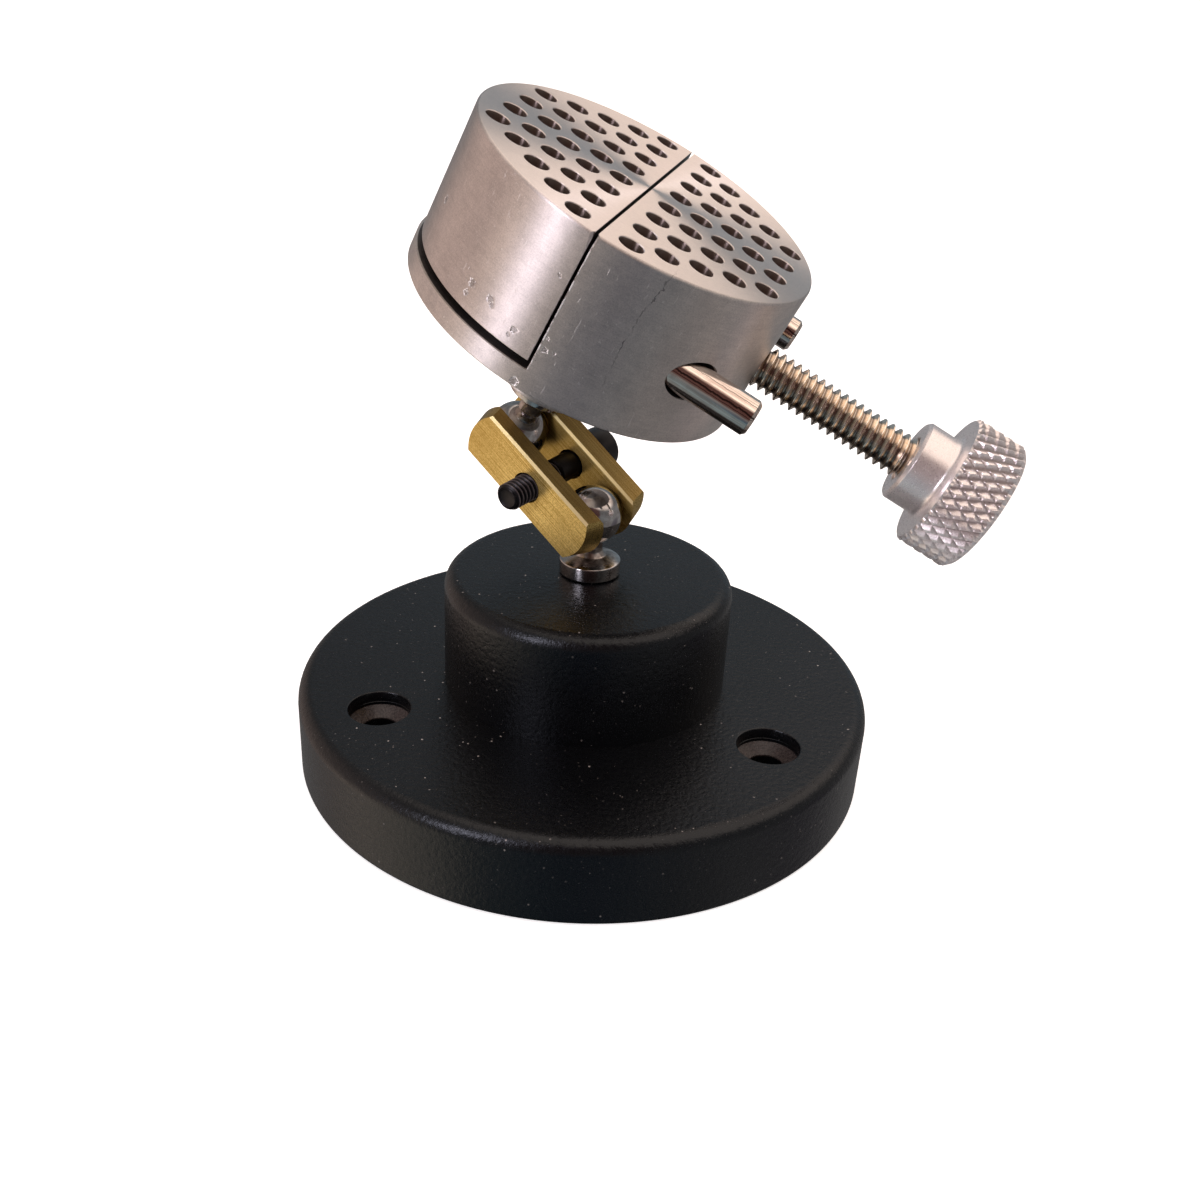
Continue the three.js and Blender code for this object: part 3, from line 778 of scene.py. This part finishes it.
def stud(name, place, body, node):
    """A ball stud with its ball's centre at 0: shank, collar with a coned top, neck and ball."""
    shank_end = -BALL_OVER_SEAT - SHANK_LONG
    collar_low = -BALL_OVER_SEAT + SEAT_GAP
    collar_top = -BALL_OVER_SEAT + COLLAR_TALL
    neck_end = math.sqrt(BALL_RADIUS ** 2 - NECK_RADIUS ** 2)
    outline = rounded([(0, shank_end), (SHANK_RADIUS - 0.6, shank_end), (SHANK_RADIUS, shank_end + 0.6),
                       (SHANK_RADIUS, collar_low), (COLLAR_RADIUS, collar_low, 0.3),
                       (COLLAR_RADIUS, collar_top, 0.22), (2.25, collar_top + 0.72, 0.5),
                       (NECK_RADIUS, collar_top + 1.5, 0.6), (NECK_RADIUS, -neck_end)], 6)
    start = -math.asin(neck_end / BALL_RADIUS)
    steps = 40
    for k in range(1, steps):
        t = start + (RIGHT_ANGLE - start) * k / steps
        outline.append((BALL_RADIUS * math.cos(t), BALL_RADIUS * math.sin(t)))
    outline.append((0, BALL_RADIUS))
    return settle(lathe(name, outline, place, 128), body, CHROME, "polished_steel", node)


stud("lower_ball_stud", BALL_LOW, "lower_stud", "base_ball_stud")
stud("upper_ball_stud", BALL_HIGH @ UPSIDE_DOWN, "upper_stud", "head_ball_stud")


# Link plates

PLATE_SPARE = 5.3
END_RADIUS = 5.82
END_RADIUS_GROWS = 0.96
END_CENTRE = 1.29
END_CENTRE_MOVES = 2.05


def end_outline(depth, thick):
    """Both coned ends of a link plate, wider than the plate, at a depth from its inner face."""
    t = depth / thick
    radius = END_RADIUS + END_RADIUS_GROWS * t
    centre = END_CENTRE + END_CENTRE_MOVES * t
    half = math.asin(PLATE_SPARE / radius)
    steps = 24
    angles = [half * (k / steps - 1) for k in range(2 * steps + 1)]
    low = [(radius * math.sin(a), centre - radius * math.cos(a)) for a in angles]
    return low + [(-x, BALL_SPACING - z) for x, z in low]


def raw_plate(name, thick, side):
    """A straight bar with rounded corners, longer than the plate."""
    half, corner = PLATE_HALF_WIDTH, 0.36
    section = []
    for x, y, first in ((half - corner, corner, -90), (half - corner, thick - corner, 0),
                        (corner - half, thick - corner, 90), (corner - half, corner, 180)):
        for t in (math.radians(first), math.radians(first + 90)):
            section.append((x + corner * math.cos(t), side * (y + corner * math.sin(t) + PLATE_INNER)))
    if side < 0:
        section.reverse()
    n = len(section)
    verts = [(x, y, z) for z in (-PLATE_SPARE, BALL_SPACING + PLATE_SPARE) for x, y in section]
    faces = [(i, (i + 1) % n, n + (i + 1) % n, n + i) for i in range(n)]
    faces += [tuple(range(n - 1, -1, -1)), tuple(range(n, 2 * n))]
    return mesh_object(name, verts, faces, LINK, sharp=0)


def plate(name, thick, side, node):
    """A link plate: round ends, a pocket for each ball and a hole for the clamp screw."""
    piece = raw_plate(name, thick, side)
    past = 0.3
    near, far = PLATE_INNER - past, PLATE_INNER + past + thick
    inner, outer = end_outline(-past, thick), end_outline(thick + past, thick)
    if side > 0:
        ends = prism("ends", inner, near, far, LINK, outer)
    else:
        ends = prism("ends", outer, -far, -near, LINK, inner)
    combine(piece, ends, "INTERSECT")
    steps = 48
    ball = [(BALL_POCKET * math.sin(math.pi * k / steps), -BALL_POCKET * math.cos(math.pi * k / steps))
            for k in range(steps + 1)]
    ball[0], ball[-1] = (0, -BALL_POCKET), (0, BALL_POCKET)
    for z in (0, BALL_SPACING):
        combine(piece, mesh_object("pocket", *lathe_data(ball, 96), LINK @ shift(0, 0, z), 0), "DIFFERENCE")
    hole = lathe_data(bar(CLAMP_BORE, -9, 9), 64)
    combine(piece, mesh_object("hole", *hole, LINK @ shift(0, 0, BALL_SPACING / 2) @ TOWARDS_FRONT, 0),
            "DIFFERENCE", 28)
    even(bevel(piece, 0.05))
    return settle(piece, "link", BRASS, "brass", node)


plate("front_link_plate", FRONT_PLATE, -1, "link_plate_front")
plate("rear_link_plate", REAR_PLATE, 1, "link_plate_rear")


# Clamp screw

def clamp_tip(z):
    return min(2.2, CLAMP_ROOT + (CLAMP_LONG - z) * 1.2)


CLAMP = LINK @ shift(0, PLATE_INNER + REAR_PLATE + SEAT_GAP, BALL_SPACING / 2) @ TOWARDS_FRONT
clamp_thread = thread("clamp_screw_thread", CLAMP_RADIUS, CLAMP_ROOT, CLAMP_PITCH, 8.2, CLAMP_LONG, CLAMP,
                      clamp_tip, 64, 12)
clamp_body = lathe("clamp_screw_body", rounded([
    (0, -CLAMP_HEAD_TALL), (CLAMP_HEAD_RADIUS, -CLAMP_HEAD_TALL, 0.45), (CLAMP_HEAD_RADIUS, 0, 0.15),
    (CLAMP_RADIUS, 0, 0.1), (CLAMP_RADIUS, 8.1, 0.2), (CLAMP_ROOT, 8.5), (1.60, 18.9), (1.45, 19.0),
    (1.2, 18.85), (0, 18.75)], 5), CLAMP, 96)
socket_end = SOCKET_DEEP - CLAMP_HEAD_TALL
socket = lathe_data([(0, -5), (2.9, -5), (SOCKET_RADIUS, -4.0), (SOCKET_RADIUS, socket_end),
                     (0, socket_end + 0.5)], 6)
combine(clamp_body, mesh_object("socket", *socket, CLAMP, 0), "DIFFERENCE")
settle(clamp_thread, "clamp_screw", OXIDE, "black_oxide")
settle(clamp_body, "clamp_screw", OXIDE, "black_oxide", "link_clamp_screw")


# Jaws

FAR = 30


def pin_holes(side):
    """Rows of pin holes with drilled ends and broken edges, each row one hole shorter than the last."""
    edge_low, edge, above = HEAD_TOP - 0.10, 0.14, HEAD_TOP + 0.4
    hole = lathe_data([(0, 13.4), (PIN_RADIUS, 14.1), (PIN_RADIUS, edge_low),
                       (PIN_RADIUS + edge, edge_low + edge), (PIN_RADIUS + edge, above), (0, above)], 40)
    holes = []
    for row in range(PIN_ROWS):
        count = LONGEST_PIN_ROW - row
        x = side * (FIRST_PIN_ROW + row * PIN_ROW_PITCH)
        for i in range(count):
            holes.append((*hole, shift(x, ((count - 1) / 2 - i) * PIN_PITCH, 0)))
    return holes


def along_x(profile, y):
    return (*lathe_data(profile, 64), shift(0, y, SCREW_HEIGHT) @ ALONG_X)


def half_space(bottom, face, lean):
    """The outline of all that is left of a split face and above a level. The face leans near its top."""
    return [(-FAR, bottom), (face, bottom), (face, HEAD_TOP - 0.06), (face + lean, HEAD_TOP + 0.15),
            (-FAR, HEAD_TOP + 0.15)]


def chipped_edge(points, x, y):
    """A thin cutter that wears an upright edge of the split, more towards its top."""
    return (*lathe_data(points, 4), shift(x, y, 0))


fixed = lathe("fixed_jaw_body", rounded([
    (0, -HEAD_BOSS_LONG), (HEAD_BOSS_RADIUS, -HEAD_BOSS_LONG, 0.6), (HEAD_BOSS_RADIUS, 0, 0.1),
    (HEAD_RADIUS, 0, 0.35), (HEAD_RADIUS, HEAD_TOP, 0.45), (0, HEAD_TOP)], 6), HEAD, 288)
combine(fixed, prism("split", half_space(DISC_TOP, FIXED_FACE, 0.08), -FAR, FAR, HEAD), "DIFFERENCE")
cuts = pin_holes(1)
cuts += [along_x(bar(ROD_BORE, -1, FAR), y) for y in (-ROD_SPREAD, ROD_SPREAD)]
cuts.append(along_x([(0, -1), (SCREW_BORE, -1), (SCREW_BORE, 25.0), (SCREW_BORE + 0.5, 25.5),
                     (SCREW_BORE + 0.5, FAR), (0, FAR)], 0))
cuts.append((*lathe_data(bar(SHANK_BORE, -10, -1), 48), BASE))
cuts.append(chipped_edge([(0, 3.3), (0.10, 3.3), (0.13, 18), (0.20, 20), (0.40, 22), (0.46, 22.9), (0, 22.9)],
                         FIXED_FACE, -25.247))
combine(fixed, many("fixed_cuts", cuts, HEAD), "DIFFERENCE", 28)
even(fixed)
settle(fixed, "head", FIXED_AL, "turned_aluminium", "fixed_jaw", "head_disc")

moving = lathe("moving_jaw_body", rounded([
    (0, JAW_BOTTOM), (HEAD_RADIUS, JAW_BOTTOM, 0.2), (HEAD_RADIUS, HEAD_TOP, 0.45), (0, HEAD_TOP)], 6),
    JAW, 288)
combine(moving, prism("half", half_space(4, MOVING_FACE, -0.08), -FAR, FAR, JAW), "INTERSECT")
cuts = pin_holes(-1)
cuts.append(along_x(bar(JOURNAL_RADIUS + 0.3, -8.9, 1), 0))
cuts += [along_x(bar(ROD_RADIUS + 0.1, -13.9, 1), y) for y in (-ROD_SPREAD, ROD_SPREAD)]
cuts.append(chipped_edge([(0, 4), (0.06, 4), (0.08, 19.5), (0.18, 21), (0.45, 22.3), (0.6, 22.9), (0, 22.9)],
                         MOVING_FACE, -25.244))
combine(moving, many("moving_cuts", cuts, JAW), "DIFFERENCE", 28)
even(moving)
settle(moving, "moving_jaw", MOVING_AL, "turned_aluminium", "moving_jaw")


# Guide rods

rod_long = ROD_END - JAW_SHIFT - MOVING_FACE + ROD_IN_JAW
rod_profile = rounded([(0, 0), (ROD_RADIUS - 0.4, 0), (ROD_RADIUS, 0.4), (ROD_RADIUS, rod_long - 0.5, 0.12),
                       (2.02, rod_long, 0.1), (0, rod_long)], 4)
for name, y, node in (("front_guide_rod", -ROD_SPREAD, "guide_rod_front"),
                      ("rear_guide_rod", ROD_SPREAD, "guide_rod_rear")):
    rod = lathe(name, rod_profile, JAW @ shift(MOVING_FACE - ROD_IN_JAW, y, SCREW_HEIGHT) @ ALONG_X, 96)
    settle(rod, "moving_jaw", ROD, "rod_steel", node)


# Jaw screw

shoulder = MOVING_FACE + 0.1
knob_place = KNOB_AT - JAW_SHIFT
reach = knob_place - shoulder
screw_end = SCREW_END - JAW_SHIFT - shoulder
SHAFT = JAW @ shift(shoulder, 0, SCREW_HEIGHT) @ ALONG_X


def first_turn(z):
    return 2.4 + z * 1.4 if z < 0.5 else 4


jaw_thread = thread("jaw_screw_thread", SCREW_RADIUS, SCREW_ROOT, SCREW_PITCH, 0.02, reach + 1.0, SHAFT,
                    first_turn)
core = SCREW_ROOT - 0.02
jaw_core = lathe("jaw_screw_core", rounded([
    (0, -8), (JOURNAL_RADIUS - 0.5, -8), (JOURNAL_RADIUS, -7.5), (JOURNAL_RADIUS, -5.1, 0.1), (1.4, -5.1),
    (1.4, -3.0), (JOURNAL_RADIUS, -3.0, 0.1), (JOURNAL_RADIUS, 0.1), (core, 0.3), (core, reach + 0.9),
    (JOURNAL_RADIUS, reach + 1.0), (JOURNAL_RADIUS, screw_end), (0, screw_end)], 4), SHAFT, 72)
settle(jaw_thread, "thumb_screw", SCREW, "rod_steel")
settle(jaw_core, "thumb_screw", SCREW, "rod_steel", "jaw_screw")


# Thumb knob

def knurl(angle, z):
    """How deep the diamond knurling is. The wheel that ran last left the deeper groove, with a burr."""
    if z < GRIP_LOW + 0.28 or z > GRIP_HIGH + 0.05:
        return 0
    p = KNURLS_AROUND * angle / TAU
    q = (z - GRIP_LOW) / KNURL_PITCH
    main = p + q * 0.5
    main = (main - round(main)) * 2
    cross = p - q * 0.5
    cross = abs(cross - round(cross)) * 2
    groove = 1 - (main / 0.98 if main > 0 else -main / 0.62)
    burr = 0.08 * max(0, 1 - abs(main + 0.70) / 0.16)
    return max(KNURL_DEEP * max(0, groove), CROSS_DEEP * max(0, 1 - cross / 0.50)) - burr


grip_start = GRIP_LOW + 0.4
profile = rounded([(0, 1.2), (3.4, 1.2), (3.4, 0, 0.2), (KNOB_COLLAR - 0.45, 0, 0.1),
                   (KNOB_COLLAR, 0.45, 0.12), (KNOB_COLLAR, GRIP_LOW, 0.9),
                   (KNOB_RADIUS - 0.4, GRIP_LOW, 0.1), (KNOB_RADIUS, grip_start)], 6)
rows = 72
for k in range(1, rows + 1):
    profile.append((KNOB_RADIUS, grip_start + (GRIP_HIGH - grip_start) * k / rows))
profile += rounded([(KNOB_RADIUS, GRIP_HIGH), (KNOB_RADIUS - 0.65, GRIP_HIGH + 0.6, 0.25),
                    (5.0, GRIP_HIGH + 1.05), (0, GRIP_HIGH + 1.2)], 6)[1:]
KNOB = JAW @ shift(knob_place, 0, SCREW_HEIGHT) @ ALONG_X
knob = lathe("thumb_knob_body", profile, KNOB, 720, knurl, 26)
settle(knob, "thumb_screw", KNOB_AL, "turned_aluminium", "thumb_knob")


# Retaining pins, hidden inside the moving jaw

for name in ("screw_retaining_pin_front", "screw_retaining_pin_rear"):
    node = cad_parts[name]
    node.data.materials.clear()
    node.data.materials.append(ROD)


# Floor and walls of pale paper, in metres

PAPER = (0.93, 0.93, 0.93)
PAPER_GLOW = 0.72
BACK_FROM = 4
WALL_FROM = 8
BEND = 3
PAPER_TOP = 12


def paper(o):
    """Plain paper that glows a little and that no polished surface mirrors."""
    material = bpy.data.materials.new(o.name)
    material.use_nodes = True
    shader = material.node_tree.nodes["Principled BSDF"]
    shader.inputs["Base Color"].default_value = (*PAPER, 1)
    shader.inputs["Roughness"].default_value = 0.9
    shader.inputs["Emission Color"].default_value = (*PAPER, 1)
    shader.inputs["Emission Strength"].default_value = PAPER_GLOW
    o.data.materials.append(material)
    o.visible_glossy = False
    return o


def sweep(start):
    """Paper that bends up from the floor at a distance, as (distance, height) points."""
    angles = [RIGHT_ANGLE * k / 16 for k in range(17)]
    bend = [(start + BEND * math.sin(t), BEND - BEND * math.cos(t)) for t in angles]
    return bend + [(start + BEND, PAPER_TOP)]


def paper_floor():
    """The sheet that the object stands on, which bends up behind it."""
    half_wide = 14
    outline = [(-9, 0)] + sweep(BACK_FROM)
    verts = [(x, y, z) for y, z in outline for x in (-half_wide, half_wide)]
    faces = [(2 * i, 2 * i + 1, 2 * i + 3, 2 * i + 2) for i in range(len(outline) - 1)]
    mesh = bpy.data.meshes.new("paper_floor")
    mesh.from_pydata(verts, [], faces)
    mesh.shade_smooth()
    o = bpy.data.objects.new("paper_floor", mesh)
    scene.collection.objects.link(o)
    return paper(o)


def paper_wall():
    """A round wall for the views from other sides, which lights nothing and shades nothing."""
    wall = paper(lathe("paper_wall", [(r / MM, z / MM) for r, z in sweep(WALL_FROM)], BASE, 96))
    wall.visible_diffuse = False
    wall.visible_shadow = False
    return wall


paper_floor()
paper_wall()


# Light

def area(name, place, aim, wide, tall, radiance, colour):
    """An area light given by how bright it looks, not by its watts."""
    data = bpy.data.lights.new(name, "AREA")
    data.shape = "RECTANGLE"
    data.size, data.size_y = wide, tall
    data.energy = math.pi * wide * tall * radiance
    data.color = colour
    o = bpy.data.objects.new(name, data)
    scene.collection.objects.link(o)
    o.location = place
    o.rotation_euler = (Vector(aim) - Vector(place)).to_track_quat("-Z", "Y").to_euler()
    o.visible_camera = False
    return o


area("left_window", (-0.54, -0.64, 0.43), (0.0, 0.0, 0.06), 0.18, 0.52, 9.4, (0.96, 0.89, 1.0))

# the room, as soft patches of light and shade: direction, cosine where a patch starts and is full, colour
ROOM = (0.19, 0.185, 0.185)
PATCHES = [((0.32, 0.08, 0.93), 0.60, 0.80, (1.10, 0.88, 0.74)),
           ((0.20, 0.93, 0.30), 0.75, 0.97, (0.01, 0.05, 0.08)),
           ((-0.97, 0.20, 0.10), 0.60, 0.95, (0.40, 0.26, 0.20)),
           ((-0.85, -0.24, -0.465), 0.86, 0.95, (0.60, 0.49, 0.37)),
           ((0.90, 0.10, -0.30), 0.50, 0.95, (0.06, 0.05, 0.045)),
           ((0.88, 0.14, -0.45), 0.93, 0.99, (-0.12, -0.12, -0.10)),
           ((0.0, -0.90, 0.43), 0.81, 0.91, (-0.09, -0.135, -0.14)),
           ((0.0, -0.90, -0.43), 0.93, 0.985, (-0.12, -0.12, -0.10)),
           ((0.0, -0.72, -0.70), 0.80, 0.95, (-0.04, -0.01, 0.01)),
           ((0.05, -0.20, -0.97), 0.78, 0.95, (-0.14, -0.14, -0.14)),
           ((-0.50, -0.62, -0.60), 0.85, 0.95, (0.02, 0.04, 0.04))]


def room_light():
    world = bpy.data.worlds.new("room")
    scene.world = world
    world.use_nodes = True
    nodes, links = world.node_tree.nodes, world.node_tree.links
    nodes.clear()
    coords = nodes.new("ShaderNodeTexCoord")
    total = None
    for direction, start, full, colour in PATCHES:
        cosine = nodes.new("ShaderNodeVectorMath")
        cosine.operation = "DOT_PRODUCT"
        links.new(coords.outputs["Generated"], cosine.inputs[0])
        cosine.inputs[1].default_value = Vector(direction).normalized()
        soft = nodes.new("ShaderNodeMapRange")
        soft.interpolation_type = "SMOOTHSTEP"
        links.new(cosine.outputs["Value"], soft.inputs[0])
        soft.inputs[1].default_value = start
        soft.inputs[2].default_value = full
        patch = nodes.new("ShaderNodeVectorMath")
        patch.operation = "MULTIPLY_ADD"
        links.new(soft.outputs[0], patch.inputs[0])
        patch.inputs[1].default_value = colour
        if total:
            links.new(total, patch.inputs[2])
        else:
            patch.inputs[2].default_value = ROOM
        total = patch.outputs[0]
    shine = nodes.new("ShaderNodeBackground")
    links.new(total, shine.inputs["Color"])
    out = nodes.new("ShaderNodeOutputWorld")
    links.new(shine.outputs[0], out.inputs["Surface"])


room_light()


# Camera, as fitted to the photograph

PHOTO_HEIGHT = 1202
FOCAL_PIXELS = 1235.893
SENSOR = 36
CAMERA_PLACE = (1.871, -170.637, 111.745)
CAMERA_LEAN = 63.25123
CAMERA_ROLL = 3.20624

data = bpy.data.cameras.new("camera")
data.sensor_width = SENSOR
data.lens = FOCAL_PIXELS / PHOTO_HEIGHT * SENSOR
data.clip_start = 0.01
camera = bpy.data.objects.new("camera", data)
scene.collection.objects.link(camera)
camera.matrix_world = (Matrix.Translation(Vector(CAMERA_PLACE) * MM)
                       @ Matrix.Rotation(math.radians(CAMERA_LEAN), 4, "X")
                       @ Matrix.Rotation(math.radians(CAMERA_ROLL), 4, "Z"))
scene.camera = camera
scene.view_settings.view_transform = "Standard"

bpy.context.view_layer.update()
